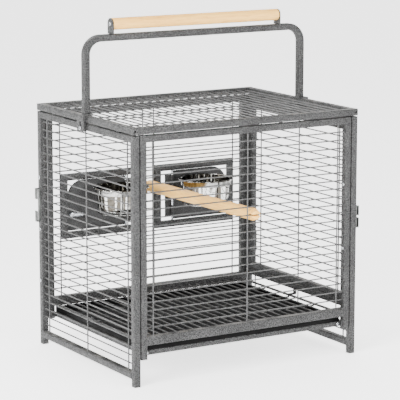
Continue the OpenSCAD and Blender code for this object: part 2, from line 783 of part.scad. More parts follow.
module bowl() {
    bend = [bowl_body_r - bowl_draft - bowl_corner, bowl_corner];
    translate([bowl_x, bowl_y, bowl_z - bowl_depth]) rotate_extrude($fn = 64) polygon(concat(
        [[0, 0]],
        shifted(arc(bowl_corner, 270, 360, 5), bend),
        [[bowl_body_r, bowl_depth - bowl_t], [bowl_r, bowl_depth - bowl_t], [bowl_r, bowl_depth],
         [bowl_body_r - bowl_t, bowl_depth]],
        shifted(arc(bowl_corner - bowl_t, 360, 270, 5), bend),
        [[0, bowl_t]]));
}

module bowl_right() color(steel) from_corner() bowl();

module bowl_left() color(steel) from_corner() on_left() bowl();

// A turn latch: boss, shaft through the panel, outer cap and a lever inside
module feeder_latch() {
    cap_d = hole_d + 4;
    translate([lever_x, 0, lever_z]) rotate([-90, 0, 0]) {
        translate([0, 0, lever_y]) cylinder(h = panel_y - 0.1 - lever_y, d = lever_boss_d);
        translate([0, 0, lever_y + 0.5]) cylinder(h = panel_y + panel_t + 0.6 - lever_y, d = screw_d);
        translate([0, 0, panel_y + panel_t + 0.1]) cylinder(h = 0.9, d = cap_d);
        translate([0, 0, lever_y]) linear_extrude(lever_t) {
            translate([lever_w / 2 - lever_l, -lever_w / 2]) square([lever_l - lever_w / 2, lever_w]);
            translate([lever_w / 2 - lever_l, 0]) circle(d = lever_w);
        }
    }
}

module feeder_latch_right() color(zinc) from_corner() feeder_latch();

module feeder_latch_left() color(zinc) from_corner() on_left() feeder_latch();

// Side door
module side_door_frame() color(coat) from_corner() translate([cage_w - tube, 0, 0]) {
    for (y = [door_y[0], door_y[1] - tube])
        translate([0, y, door_z[0]]) bar_z(door_z[1] - door_z[0]);
    for (z = [door_z[0], door_z[1] - tube])
        translate([0, door_y[0] + tube, z]) bar_y(door_y[1] - door_y[0] - 2 * tube);
}

module side_door_grille() color(wire_grey) from_corner() {
    ys = [door_y[0] + tube, door_y[1] - tube];
    zs = [door_z[0] + tube, door_z[1] - tube];
    translate([cage_w - tube / 2, 0, 0]) rotate([0, 0, 90])
        grille(ys, zs, [ys[0] + door_upright, mid_y, ys[1] - door_upright],
            spread(zs[0], zs[1], wall_pitch));
}

// Knuckles of one hinge: outer two on the post, the middle one on the door
module knuckle(z, h) {
    translate([hinge_x, hinge_y, z]) cylinder(h = h, d = knuckle_d);
}

module hinge_bore() {
    translate([hinge_x, hinge_y, -1]) cylinder(h = hinge_h + 2, d = hinge_pin_d + 2 * pin_fit);
}

module hinge_leaf_post() {
    leaf_w = cage_d - 1 - hinge_y;
    difference() {
        union() {
            translate([cage_w, hinge_y, 0]) cube([leaf_t, leaf_w, hinge_h]);
            knuckle(0, knuckle_split - knuckle_gap);
            knuckle(2 * knuckle_split + knuckle_gap, knuckle_split - knuckle_gap);
        }
        translate([cage_w - 1, hinge_y - knuckle_d, knuckle_split - knuckle_gap])
            cube([knuckle_d + 2, 1.5 * knuckle_d + 0.5, knuckle_split + 2 * knuckle_gap]);
        hinge_bore();
    }
}

module hinge_leaf_door() {
    leaf_w = hinge_y - door_y[1] + tube - 1;
    difference() {
        union() {
            translate([cage_w, hinge_y - leaf_w, 0]) cube([leaf_t, leaf_w, hinge_h]);
            knuckle(knuckle_split, knuckle_split);
        }
        for (z = [-1, 2 * knuckle_split])
            translate([cage_w - 1, hinge_y - knuckle_d / 2 - 0.5, z])
                cube([knuckle_d + 2, knuckle_d + 1, knuckle_split + 1]);
        hinge_bore();
    }
}

module hinge_leaves_post() color(zinc) from_corner()
    for (z = hinge_zs) translate([0, 0, z - hinge_h / 2]) hinge_leaf_post();

module hinge_leaves_door() color(zinc) from_corner()
    for (z = hinge_zs) translate([0, 0, z - hinge_h / 2]) hinge_leaf_door();

module hinge_pins() color(steel) from_corner()
    for (z = hinge_zs) translate([hinge_x, hinge_y, z - hinge_h / 2 - 1]) {
        cylinder(h = hinge_h + 2, d = hinge_pin_d);
        for (end = [0, hinge_h + 1]) translate([0, 0, end]) cylinder(h = 1, d = hinge_pin_d + 1.4);
    }

// Two opposed hooks on a plate: stems at the far ends, lips towards each other
module hook_pair(plate_l, out, low, high) {
    span = high[1] - low[0];
    translate([0, 0, low[0]]) cube([latch_t, plate_l, span]);
    for (z = [low[0], high[1] - latch_t]) translate([0, 0, z]) cube([out, plate_l, latch_t]);
    for (z = [low, high])
        translate([out - latch_t, 0, z[0]]) cube([latch_t, plate_l, z[1] - z[0]]);
}

module latch_keeper() color(zinc) from_corner() translate([cage_w, keeper_y, latch_z]) {
    half = bolt_h / 2 + 0.5 + latch_t;
    hook_pair(keeper_l, bolt_lip_x + latch_t - cage_w, [-half, -2], [2, half]);
}

module strap_hooks() color(zinc) from_corner() mirror([1, 0, 0])
    translate([0, cage_d - tube + 2, latch_z + 10])
        hook_pair(tube - 3, hook_out, [-31, -11], [11, 31]);

// The housing lies on the door's stile and guides the bolt's edges
module latch_housing() color(zinc) from_corner() {
    half = bolt_h / 2 + 0.3;
    w = bolt_l + 1;
    translate([cage_w, door_y[0] + 0.2, latch_z]) {
        translate([0, 0, -half - latch_t]) cube([latch_t, w, 2 * half + 2 * latch_t]);
        for (z = [-half - latch_t, half])
            translate([0, 0, z]) cube([bolt_lip_x + latch_t - cage_w, w, latch_t]);
        for (z = [-half - latch_t, half - 3])
            translate([bolt_lip_x - cage_w, 0, z]) cube([latch_t, w, 3 + latch_t]);
    }
}

module latch_bolt() color(steel) from_corner() translate([bolt_x, bolt_y, latch_z]) {
    translate([0, 0, -bolt_h / 2]) cube([bolt_t, bolt_l, bolt_h]);
    translate([bolt_t - 0.3, bolt_l - knob_d / 2 - 1, 9]) rotate([0, 90, 0]) {
        cylinder(h = knob_l + 0.3 - 2, d = knob_d * 0.7);
        translate([0, 0, knob_l + 0.3 - 6]) cylinder(h = 6, d = knob_d);
    }
}

// Tray under the floor
module tray() color(black) from_corner() {
    w = cage_w - 2 * (stile_in + tray_side);
    d = cage_d - 2 * tube - 1;
    translate([stile_in + tray_side, tube + 0.5, tray_z]) difference() {
        cube([w, d, tray_h]);
        translate([tray_wall, tray_wall, tray_wall])
            cube([w - 2 * tray_wall, d - 2 * tray_wall, tray_h]);
    }
}

// Floor grate: wires front to back, welded on top of a few cross bars
module floor_grate() color(wire_grey) from_corner() {
    n = round((grate_x[1] - grate_x[0]) / mesh_pitch);
    for (k = [0 : n])
        translate([grate_x[0] + (grate_x[1] - grate_x[0]) * k / n, grate_y[0], grate_z + 1.5 * grate_wire_d])
            wire_y(grate_y[1] - grate_y[0], grate_wire_d);
}

module grate_bars() color(wire_grey) from_corner() {
    r = grate_wire_d / 2;
    first = grate_y[0] + r;
    step = (grate_y[1] - grate_y[0] - 2 * r) / (grate_cross - 1);
    for (k = [0 : grate_cross - 1])
        translate([grate_x[0], first + step * k, grate_z + r])
            wire_x(grate_x[1] - grate_x[0], grate_wire_d);
}

// A spacer clip stands on the grate's edge and keeps it off the side wall
module grate_clip() {
    top = grate_z + 2 * grate_wire_d;
    translate([tube + 0.8, mid_y - clip_l / 2 - 2, top]) {
        cube([grate_x[0] - tube + grate_wire_d / 2, clip_l, latch_t]);
        cube([latch_t, clip_l, clip_h]);
    }
}

module grate_clips() color(black) from_corner() {
    grate_clip();
    on_left() grate_clip();
}

left_side_frame();
left_side_grille();
right_side_frame();
right_lower_grille();
front_frame();
front_grille();
back_frame();
back_grille_upper();
back_grille_columns();
back_grille_lower();
top_frame();
top_grille();
top_spacers();
top_screws();
handle_tube();
handle_bracket_left();
handle_bracket_right();
handle_screws();
grip_plates();
grip();
grip_screws();
perch();
feeder_frame_left();
feeder_frame_right();
feeder_pivot_left();
feeder_pivot_right();
base_ring();
base_screws();
front_screws();
back_screws();
leg_plugs();
latch_keeper();
strap_hooks();
hinge_leaves_post();
hinge_pins();
side_door_frame();
side_door_grille();
hinge_leaves_door();
latch_housing();
latch_bolt();
tray();
floor_grate();
grate_bars();
grate_clips();
feeder_panel_left();
feeder_panel_right();
bowl_holder_left();
bowl_holder_right();
bowl_left();
bowl_right();
feeder_latch_left();
feeder_latch_right();
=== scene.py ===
# %% [markdown]
# # A carrying cage for a small bird
# The cage is made of square steel tube with wire welded into it, all of it powder coated in a silver
# grey hammertone. Inside are a wooden perch, two steel bowls on panels that swing out of the back,
# and a wire floor over a black tray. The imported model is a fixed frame: it holds every size and every
# joint, so this file only reads places from it and never moves it. Each node is shown by a finished
# piece that stands in the same place, with the roundings, welds and finishes of the real thing.

import json
import math

import bmesh
import bpy
from mathutils import Matrix, Vector


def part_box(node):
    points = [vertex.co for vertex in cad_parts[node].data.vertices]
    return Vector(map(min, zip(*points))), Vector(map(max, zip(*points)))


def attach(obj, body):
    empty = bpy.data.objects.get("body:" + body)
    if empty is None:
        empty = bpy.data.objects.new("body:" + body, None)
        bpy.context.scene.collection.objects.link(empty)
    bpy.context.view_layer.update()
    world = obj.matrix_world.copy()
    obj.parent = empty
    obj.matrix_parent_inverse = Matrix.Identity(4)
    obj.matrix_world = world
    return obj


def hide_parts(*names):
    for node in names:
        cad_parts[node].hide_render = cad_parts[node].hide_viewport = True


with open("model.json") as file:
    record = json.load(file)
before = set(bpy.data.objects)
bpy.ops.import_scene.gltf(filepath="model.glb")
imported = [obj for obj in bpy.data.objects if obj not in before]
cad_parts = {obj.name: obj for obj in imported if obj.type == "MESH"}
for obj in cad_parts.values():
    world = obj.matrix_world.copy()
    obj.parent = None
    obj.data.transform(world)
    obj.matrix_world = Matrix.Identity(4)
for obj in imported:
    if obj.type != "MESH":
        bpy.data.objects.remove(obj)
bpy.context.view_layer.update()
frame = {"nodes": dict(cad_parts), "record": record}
nodes = frame["nodes"]
body_of = {node: body for body, members in frame["record"]["behaviour"]["bodies"].items() for node in members}
slot_of = {row["node"]: row["material_slot"] for row in frame["record"]["subparts"]}
MM = 0.001

# %% [markdown]
# ## Camera
# The cage is seen from a little above its roof, with a long lens that keeps the tubes nearly
# parallel. The camera's place is measured from the cage's front left foot, because that is the
# corner nearest to it. Two angles aim it: how far it is turned about the upright axis and how far it
# looks down. The lens length then sets how much of the view the cage fills.

# %% Camera
front_left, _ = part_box("left_side_frame")
left_of_corner, before_corner, height = 1.6555, 2.9661, 0.9618
turn = math.radians(-31.05)
look_down = math.radians(10.57)
camera_data = bpy.data.cameras.new("camera")
camera_data.sensor_width = 36
camera_data.lens = 184.5
camera_data.clip_end = 30
camera = bpy.data.objects.new("camera", camera_data)
camera.location = (front_left.x - left_of_corner, front_left.y - before_corner, height)
camera.rotation_euler = (math.pi / 2 - look_down, 0, turn)
bpy.context.scene.collection.objects.link(camera)
bpy.context.scene.camera = camera
print("camera at", [round(c, 3) for c in camera.location])

# %% [markdown]
# ## Working with nodes
# The world, the finishes and the effects that finishes share are all made of nodes. Small helpers
# keep that code short. One adds a node and sets or links its inputs, three more make the nodes that
# are used most, and the last starts a group with named sockets.

# %% Node helpers
def add(tree, kind, settings=None, **inputs):
    made = tree.nodes.new(kind)
    for key, value in (settings or {}).items():
        setattr(made, key, value)
    for key, value in inputs.items():
        socket = made.inputs[int(key[1:])] if key[1:].isdigit() else made.inputs[key.replace("_", " ")]
        if isinstance(value, bpy.types.NodeSocket):
            tree.links.new(value, socket)
        else:
            socket.default_value = value
    return made


def ramp(tree, factor, low, high, low_value=0.0, high_value=1.0):
    made = add(tree, "ShaderNodeMapRange", {"interpolation_type": "SMOOTHSTEP"}, Value=factor)
    made.inputs["From Min"].default_value = low
    made.inputs["From Max"].default_value = high
    made.inputs["To Min"].default_value = low_value
    made.inputs["To Max"].default_value = high_value
    return made.outputs["Result"]


def mix(tree, factor, first, second):
    made = tree.nodes.new("ShaderNodeMix")
    made.data_type = "RGBA"
    for socket, value in ((made.inputs[0], factor), (made.inputs[6], first), (made.inputs[7], second)):
        if isinstance(value, bpy.types.NodeSocket):
            tree.links.new(value, socket)
        else:
            socket.default_value = value
    return made.outputs[2]


def math_node(tree, operation, first, second=0.0):
    return add(tree, "ShaderNodeMath", {"operation": operation}, _0=first, _1=second).outputs[0]


def start_group(name, inputs, outputs):
    group = bpy.data.node_groups.new(name, "ShaderNodeTree")
    for label, kind, value in inputs:
        group.interface.new_socket(label, in_out="INPUT", socket_type=kind).default_value = value
    for label, kind in outputs:
        group.interface.new_socket(label, in_out="OUTPUT", socket_type=kind)
    return group, group.nodes.new("NodeGroupInput").outputs, group.nodes.new("NodeGroupOutput").inputs


NUMBER, COLOUR, PLACE = "NodeSocketFloat", "NodeSocketColor", "NodeSocketVector"
print("node helpers ready")

# %% [markdown]
# ## Light and floor
# A cage is mostly gaps, so the eye sees the backdrop through it, and the backdrop is nearly white.
# The world is a white sweep behind the cage that falls off to a dim room on the camera's side. This
# keeps the faces that look at the camera darker than the sweep, and gives the polished bowls
# something dark to reflect. A wide lamp on the left makes the left faces of the tubes the lightest,
# as a window does, and weaker ones in front and above open the shadows.

# %% World
world = bpy.data.worlds.new("studio")
bpy.context.scene.world = world
world.use_nodes = True
sweep = world.node_tree
direction = add(sweep, "ShaderNodeTexCoord").outputs["Generated"]
towards_back = add(sweep, "ShaderNodeVectorMath", {"operation": "DOT_PRODUCT"}, _0=direction,
                   _1=(0.42, 0.9, -0.12)).outputs["Value"]
dim, bright = 0.16, 5.0
falloff = ramp(sweep, towards_back, 0.15, 0.85, dim, bright)
print("the world goes from", dim, "in front to", bright, "behind")

# %% [markdown]
# Polished metal looks like metal only when it has dark things to reflect, so a studio stands narrow
# black flags round the set. Here the flags are part of the world: stripes by compass direction that
# only mirror-like rays can see, so they shape the bowls and leave the soft light as it is. Past the
# far edge of the floor the world is plain and pale.

# %% Flags in the reflections
FLAGS = 9
around = add(sweep, "ShaderNodeTexGradient", {"gradient_type": "RADIAL"}, Vector=direction).outputs["Fac"]
stripes = math_node(sweep, "PINGPONG", around, 1 / (2 * FLAGS))
flags = ramp(sweep, stripes, 0.020, 0.032, 0.03, 1.5)
ray = add(sweep, "ShaderNodeLightPath").outputs
in_gloss = add(sweep, "ShaderNodeMix", Factor=ray["Is Glossy Ray"], A=1.0, B=flags).outputs["Result"]
lighting = math_node(sweep, "MULTIPLY", falloff, in_gloss)
past_floor = 3.0
strength = add(sweep, "ShaderNodeMix", Factor=ray["Is Camera Ray"], A=lighting,
               B=past_floor).outputs["Result"]
backdrop = sweep.nodes["Background"]
backdrop.inputs["Color"].default_value = (1.0, 1.0, 1.0, 1)
sweep.links.new(strength, backdrop.inputs["Strength"])
print("flags every", 360 / FLAGS, "degrees")

# %% [markdown]
# The lamps are square and wide, so their shadows are soft. The floor is a large sheet under the cage.

# %% Lamps and floor
def lamp(name, place, aim, size, power):
    data = bpy.data.lights.new(name, "AREA")
    data.shape = "SQUARE"
    data.size = size
    data.energy = power
    thing = bpy.data.objects.new(name, data)
    thing.location = place
    thing.rotation_euler = (Vector(aim) - Vector(place)).to_track_quat("-Z", "Y").to_euler()
    bpy.context.scene.collection.objects.link(thing)


cage_middle = (0, 0, 0.3)
lamp("key", (-2.3, -1.0, 1.3), cage_middle, 1.3, 170)
lamp("front_fill", (0.8, -2.8, 1.2), cage_middle, 1.4, 85)
lamp("top", (-0.3, -0.5, 2.9), cage_middle, 1.2, 42)

half_floor = 8
floor_mesh = bpy.data.meshes.new("floor")
sheet = bmesh.new()
bmesh.ops.create_grid(sheet, x_segments=1, y_segments=1, size=half_floor)
sheet.to_mesh(floor_mesh)
sheet.free()
floor = bpy.data.objects.new("floor", floor_mesh)
bpy.context.scene.collection.objects.link(floor)
print("floor", 2 * half_floor, "m across, and three lamps")

# %% [markdown]
# ## Building finishes from nodes
# Each finish is a material whose colour, roughness and relief come from procedural textures read in
# Object coordinates, so that a fleck of paint has its real size on every piece. Effects that several
# finishes share are node groups.

# %% [markdown]
# ### Hammertone powder coat
# Silver vein powder is a dark paint with metal flake that floats into veins as it cures. Close up it
# is a mottle of pale flake islands about a millimetre across on a darker ground, with a skin like
# fine orange peel. A noise of two sizes gives the islands, and the same noise lifts the surface.

# %% Hammertone group
def hammertone_group():
    group, given, out = start_group(
        "hammertone",
        [("Place", PLACE, (0, 0, 0)), ("Dark", COLOUR, (0.1, 0.1, 0.1, 1)),
         ("Light", COLOUR, (0.4, 0.4, 0.4, 1)), ("Fleck size", NUMBER, 0.0014)],
        [("Color", COLOUR), ("Roughness", NUMBER), ("Height", NUMBER)])
    per_metre = math_node(group, "DIVIDE", 1.0, given["Fleck size"])
    veins = add(group, "ShaderNodeTexNoise", Vector=given["Place"], Scale=per_metre, Detail=3.0,
                Roughness=0.62, Distortion=0.6).outputs["Fac"]
    coarse_scale = math_node(group, "MULTIPLY", per_metre, 0.06)
    clouds = add(group, "ShaderNodeTexNoise", Vector=given["Place"], Scale=coarse_scale,
                 Detail=2.0).outputs["Fac"]
    islands = ramp(group, veins, 0.42, 0.60)
    patch = ramp(group, clouds, 0.3, 0.7, 0.82, 1.08)
    colour = mix(group, islands, given["Dark"], given["Light"])
    toned = add(group, "ShaderNodeVectorMath", {"operation": "SCALE"}, Vector=colour, Scale=patch)
    group.links.new(toned.outputs["Vector"], out["Color"])
    group.links.new(ramp(group, veins, 0.35, 0.65, 0.62, 0.42), out["Roughness"])
    group.links.new(veins, out["Height"])
    return group


HAMMERTONE = hammertone_group()
print("group", HAMMERTONE.name)

# %% [markdown]
# ### Worn edges
# Handling rubs paint thin along edges. The Bevel node returns the normal that a rounded edge would
# have, so where it differs from the true normal there is an edge. Noise breaks the line up, because
# wear is never even.

# %% Edge wear group
def edge_wear_group():
    group, given, out = start_group(
        "edge_wear",
        [("Place", PLACE, (0, 0, 0)), ("Reach", NUMBER, 0.0006), ("Amount", NUMBER, 0.5)],
        [("Mask", NUMBER)])
    rounded = add(group, "ShaderNodeBevel", {"samples": 4}, Radius=given["Reach"])
    true_normal = add(group, "ShaderNodeNewGeometry").outputs["Normal"]
    match = add(group, "ShaderNodeVectorMath", {"operation": "DOT_PRODUCT"}, _0=rounded.outputs["Normal"],
                _1=true_normal)
    edge = ramp(group, match.outputs["Value"], 0.99, 0.9)
    chips = add(group, "ShaderNodeTexNoise", Vector=given["Place"], Scale=420.0, Detail=3.0).outputs["Fac"]
    broken = math_node(group, "MULTIPLY", edge, ramp(group, chips, 0.45, 0.7))
    group.links.new(math_node(group, "MULTIPLY", broken, given["Amount"]), out["Mask"])
    return group


EDGE_WEAR = edge_wear_group()
print("group", EDGE_WEAR.name)

# %% [markdown]
# ### Settled dust
# Dust lies on what faces up and is thicker in some places. It is a mask from the normal's upward
# part and a slow noise.

# %% Dust group
def dust_group():
    group, given, out = start_group(
        "dust", [("Place", PLACE, (0, 0, 0)), ("Amount", NUMBER, 0.3)], [("Mask", NUMBER)])
    normal = add(group, "ShaderNodeNewGeometry").outputs["Normal"]
    up = add(group, "ShaderNodeSeparateXYZ", Vector=normal).outputs["Z"]
    lying = ramp(group, up, 0.5, 1.0)
    drift = add(group, "ShaderNodeTexNoise", Vector=given["Place"], Scale=38.0, Detail=4.0).outputs["Fac"]
    thick = math_node(group, "MULTIPLY", lying, ramp(group, drift, 0.35, 0.75))
    group.links.new(math_node(group, "MULTIPLY", thick, given["Amount"]), out["Mask"])
    return group


DUST = dust_group()
print("group", DUST.name)

# %% [markdown]
# ### Wood grain
# A dowel is turned along the grain, so its rings are long streaks. Stretching the place along the
# dowel before a noise makes the streaks, a finer one gives the pores, and both tint and dent it.

# %% Wood group
def wood_group():
    group, given, out = start_group(
        "wood_grain",
        [("Place", PLACE, (0, 0, 0)), ("Pale", COLOUR, (0.8, 0.6, 0.4, 1)),
         ("Brown", COLOUR, (0.5, 0.3, 0.15, 1))],
        [("Color", COLOUR), ("Roughness", NUMBER), ("Height", NUMBER)])
    streaks = add(group, "ShaderNodeTexNoise", Vector=given["Place"], Scale=330.0, Detail=4.0,
                  Roughness=0.6, Distortion=1.4).outputs["Fac"]
    pores = add(group, "ShaderNodeTexNoise", Vector=given["Place"], Scale=1900.0, Detail=2.0).outputs["Fac"]
    broad = add(group, "ShaderNodeTexNoise", Vector=given["Place"], Scale=70.0, Detail=2.0).outputs["Fac"]
    grain = math_node(group, "MULTIPLY", ramp(group, streaks, 0.42, 0.72), 0.55)
    fine = math_node(group, "MULTIPLY", ramp(group, pores, 0.56, 0.74), 0.35)
    tone = math_node(group, "MULTIPLY", ramp(group, broad, 0.35, 0.7), 0.28)
    amount = math_node(group, "ADD", math_node(group, "ADD", grain, fine), tone)
    group.links.new(mix(group, amount, given["Pale"], given["Brown"]), out["Color"])
    group.links.new(ramp(group, streaks, 0.3, 0.7, 0.62, 0.48), out["Roughness"])
    group.links.new(math_node(group, "SUBTRACT", 1.0, amount), out["Height"])
    return group


WOOD = wood_group()
print("group", WOOD.name)

# %% [markdown]
# ### Bare metal
# Zinc plate and polished steel differ in how sharp their reflections are and in how their surface
# was worked. One group gives both: slow blotches from handling change the roughness and the tint,
# and fine scratches, stretched along one direction, give the relief.

# %% Bare metal group
def metal_group():
    group, given, out = start_group(
        "bare_metal",
        [("Place", PLACE, (0, 0, 0)), ("Bright", COLOUR, (0.8, 0.8, 0.8, 1)),
         ("Dull", COLOUR, (0.6, 0.6, 0.6, 1)), ("Smooth", NUMBER, 0.1), ("Rough", NUMBER, 0.25)],
        [("Color", COLOUR), ("Roughness", NUMBER), ("Height", NUMBER)])
    blotches = add(group, "ShaderNodeTexNoise", Vector=given["Place"], Scale=160.0, Detail=4.0).outputs["Fac"]
    stretched = add(group, "ShaderNodeMapping", Vector=given["Place"], Scale=(1, 1, 18))
    scratches = add(group, "ShaderNodeTexNoise", Vector=stretched.outputs["Vector"], Scale=260.0,
                    Detail=3.0).outputs["Fac"]
    worn = ramp(group, blotches, 0.38, 0.68)
    group.links.new(mix(group, worn, given["Bright"], given["Dull"]), out["Color"])
    spread = math_node(group, "SUBTRACT", given["Rough"], given["Smooth"])
    rough = add(group, "ShaderNodeMath", {"operation": "MULTIPLY_ADD"}, _0=worn, _1=spread,
                _2=given["Smooth"])
    group.links.new(rough.outputs["Value"], out["Roughness"])
    group.links.new(scratches, out["Height"])
    return group


METAL = metal_group()
print("group", METAL.name)

# %% [markdown]
# ## The finishes
# A material starts with a Principled shader. What is the same all over is set on its own sockets, and
# what changes over the surface comes from the groups.

# %% Material helpers
def start_material(name, **sockets):
    material = bpy.data.materials.new(name)
    material.use_nodes = True
    tree = material.node_tree
    shader = tree.nodes["Principled BSDF"]
    for key, value in sockets.items():
        shader.inputs[key.replace("_", " ")].default_value = value
    place = tree.nodes.new("ShaderNodeTexCoord").outputs["Object"]
    return material, tree, shader, place


def use_group(tree, group, **inputs):
    return add(tree, "ShaderNodeGroup", {"node_tree": group}, **inputs).outputs


def relief(tree, shader, height, depth, strength=0.5):
    bump = add(tree, "ShaderNodeBump", Height=height, Distance=depth, Strength=strength)
    tree.links.new(bump.outputs["Normal"], shader.inputs["Normal"])


def grey(value, blue=0.0):
    return (value, value, value + blue, 1)


FINISHES = {}
print("material helpers ready")

# %% [markdown]
# The tubes and the wires have the same paint, but the wires take it thinner and look paler, and their flecks
# are smaller. The floor grate has the wires' paint made darker, as painted shade for the dim floor of the
# cage, and the feeder panels have a darker coat. Wear shows bare steel along the edges of the tubes and the
# panels, and a little dust lies on what faces up.

# %% Powder coats
def powder_coat(slot, dark, light, fleck, depth, wear):
    material, tree, shader, place = start_material(slot, Metallic=0.2, Specular_IOR_Level=0.25)
    paint = use_group(tree, HAMMERTONE, Place=place, Dark=grey(dark), Light=grey(light), Fleck_size=fleck)
    colour = paint["Color"]
    if wear:
        rubbed = use_group(tree, EDGE_WEAR, Place=place, Reach=0.0007, Amount=wear)["Mask"]
        colour = mix(tree, rubbed, colour, grey(0.5, 0.01))
    dusty = use_group(tree, DUST, Place=place, Amount=0.22)["Mask"]
    tree.links.new(mix(tree, dusty, colour, (0.55, 0.53, 0.49, 1)), shader.inputs["Base Color"])
    tree.links.new(paint["Roughness"], shader.inputs["Roughness"])
    relief(tree, shader, paint["Height"], depth)
    FINISHES[slot] = material


powder_coat("tube_coat", 0.012, 0.078, 0.0020, 0.0004, 0.3)
powder_coat("wire_coat", 0.03, 0.14, 0.0010, 0.00012, 0)
# The grate's coat is the wire paint darkened: painted shade for the floor of the cage.
powder_coat("grate_coat_painted_shade", 0.02, 0.075, 0.0010, 0.00012, 0)
powder_coat("panel_coat", 0.022, 0.07, 0.0013, 0.00018, 0.3)
print("powder coats", sorted(FINISHES))

# %% [markdown]
# The screws and the feeders' latches are zinc plated, which is bright with a cold tint and soft cloudy
# patches. The plates of the hinges, the latch and the hooks have a duller, darker zinc, the bolt and the
# hinge pins are drawn steel, and the bowl holders are a polished steel kept much darker than the zinc.

# %% Metals
def bare_metal(slot, bright, dull, smooth, rough, depth, squeeze=(1, 1, 1)):
    material, tree, shader, place = start_material(slot, Metallic=1.0)
    place = add(tree, "ShaderNodeMapping", Vector=place, Scale=squeeze).outputs["Vector"]
    metal = use_group(tree, METAL, Place=place, Bright=bright, Dull=dull, Smooth=smooth, Rough=rough)
    tree.links.new(metal["Color"], shader.inputs["Base Color"])
    tree.links.new(metal["Roughness"], shader.inputs["Roughness"])
    relief(tree, shader, metal["Height"], depth, 0.3)
    FINISHES[slot] = material


bare_metal("zinc", (0.50, 0.52, 0.55, 1), (0.33, 0.34, 0.34, 1), 0.2, 0.38, 0.00006)
bare_metal("steel", (0.52, 0.52, 0.53, 1), (0.38, 0.38, 0.38, 1), 0.18, 0.32, 0.00005)
bare_metal("dark_zinc", (0.13, 0.135, 0.13, 1), (0.085, 0.088, 0.085, 1), 0.36, 0.5, 0.00006)
bare_metal("holder_steel", (0.34, 0.34, 0.33, 1), (0.07, 0.07, 0.065, 1), 0.08, 0.2, 0.000005,
           squeeze=(0.5, 0.5, 0.1))
print("metals", sorted(FINISHES))

# %% [markdown]
# A bowl is drawn through a die and then polished. Its colour has light and dark streaks that run upwards,
# painted reflections of dark things round the bowl, so its Mapping squeezes the upright axis until the spots
# of a noise become streaks.

# %% Bowl steel with painted reflections
def steel_with_painted_reflections(slot, dark, light):
    material, tree, shader, place = start_material(slot, Metallic=1.0)
    upright = add(tree, "ShaderNodeMapping", Vector=place, Scale=(1, 1, 0.04)).outputs["Vector"]
    streaks = add(tree, "ShaderNodeTexNoise", Vector=upright, Scale=125.0, Detail=1.0).outputs["Fac"]
    # The dark and light upright streaks of the base colour are painted reflections.
    tree.links.new(mix(tree, ramp(tree, streaks, 0.49, 0.60), dark, light), shader.inputs["Base Color"])
    tree.links.new(ramp(tree, streaks, 0.4, 0.6, 0.12, 0.04), shader.inputs["Roughness"])
    FINISHES[slot] = material


steel_with_painted_reflections("bowl_steel", (0.10, 0.09, 0.075, 1), (0.72, 0.72, 0.70, 1))
print("with the bowls", len(FINISHES), "finishes")

# %% [markdown]
# The grip and the perch are sanded dowels without lacquer. Their grain runs along them, so each one
# has its own Mapping that squeezes the place along its length.

# %% Wood
def dowel_wood(name, squeeze):
    material, tree, shader, place = start_material(name, Specular_IOR_Level=0.35)
    along = add(tree, "ShaderNodeMapping", Vector=place, Scale=squeeze).outputs["Vector"]
    wood = use_group(tree, WOOD, Place=along, Pale=(1.0, 0.585, 0.145, 1), Brown=(0.70, 0.31, 0.06, 1))
    tree.links.new(wood["Color"], shader.inputs["Base Color"])
    tree.links.new(wood["Roughness"], shader.inputs["Roughness"])
    relief(tree, shader, wood["Height"], 0.00015)
    FINISHES[name] = material


dowel_wood("grip_wood", (0.06, 1, 1))
dowel_wood("perch_wood", (1, 0.06, 1))
print("woods", sorted(FINISHES))

# %% [markdown]
# Moulded plastic has a fine even grain from its tool, and black plastic shows every bit of dust. The tray is
# the largest black surface, and scuffs from sliding on steel bars make it paler in places. The tray's black
# is also set far darker than the other black plastic, as painted shade for the dark under the grate.

# %% Plastics
def black_plastic(slot, dark, scuffed, dust, gloss):
    material, tree, shader, place = start_material(slot, Specular_IOR_Level=gloss)
    grain = add(tree, "ShaderNodeTexVoronoi", Vector=place, Scale=1500.0).outputs["Distance"]
    scuffs = add(tree, "ShaderNodeTexNoise", Vector=place, Scale=55.0, Detail=5.0).outputs["Fac"]
    colour = mix(tree, ramp(tree, scuffs, 0.45, 0.75), grey(dark), grey(scuffed))
    dusty = use_group(tree, DUST, Place=place, Amount=dust)["Mask"]
    tree.links.new(mix(tree, dusty, colour, (0.35, 0.34, 0.32, 1)), shader.inputs["Base Color"])
    tree.links.new(ramp(tree, scuffs, 0.3, 0.7, 0.42, 0.6), shader.inputs["Roughness"])
    relief(tree, shader, grain, 0.0001, 0.4)
    FINISHES[slot] = material


black_plastic("black_plastic", 0.010, 0.025, 0.15, 0.35)
# The tray's near-black tone is black plastic plus painted shade for the dark under the grate.
black_plastic("tray_plastic", 0.0015, 0.004, 0.015, 0.06)
print("plastics", sorted(name for name in FINISHES if "plastic" in name))

# %% [markdown]
# The floor is a light table: a sheet of pale acrylic with lamps under it, so it glows a little and
# keeps the shadow under the cage soft. Its own tone varies very slightly, as sanded acrylic does.

# %% Floor finish
material, tree, shader, place = start_material("floor", Roughness=0.8, Emission_Color=(1, 1, 1, 1),
                                               Emission_Strength=2.3)
paper = add(tree, "ShaderNodeTexNoise", Vector=place, Scale=60.0, Detail=3.0).outputs["Fac"]
tree.links.new(mix(tree, paper, grey(0.86), grey(0.9)), shader.inputs["Base Color"])
floor.data.materials.append(material)
print("finishes", sorted(FINISHES))

# %% [markdown]
# ## Pieces
# Every finished piece goes through one function. It turns a bmesh into an object at the origin, marks which
# edges are sharp so that round surfaces shade smoothly, gives it its finish, by default the one of its node's
# slot, and ties it to its node's body.

# %% Finishing a piece
SHARP = math.radians(36)


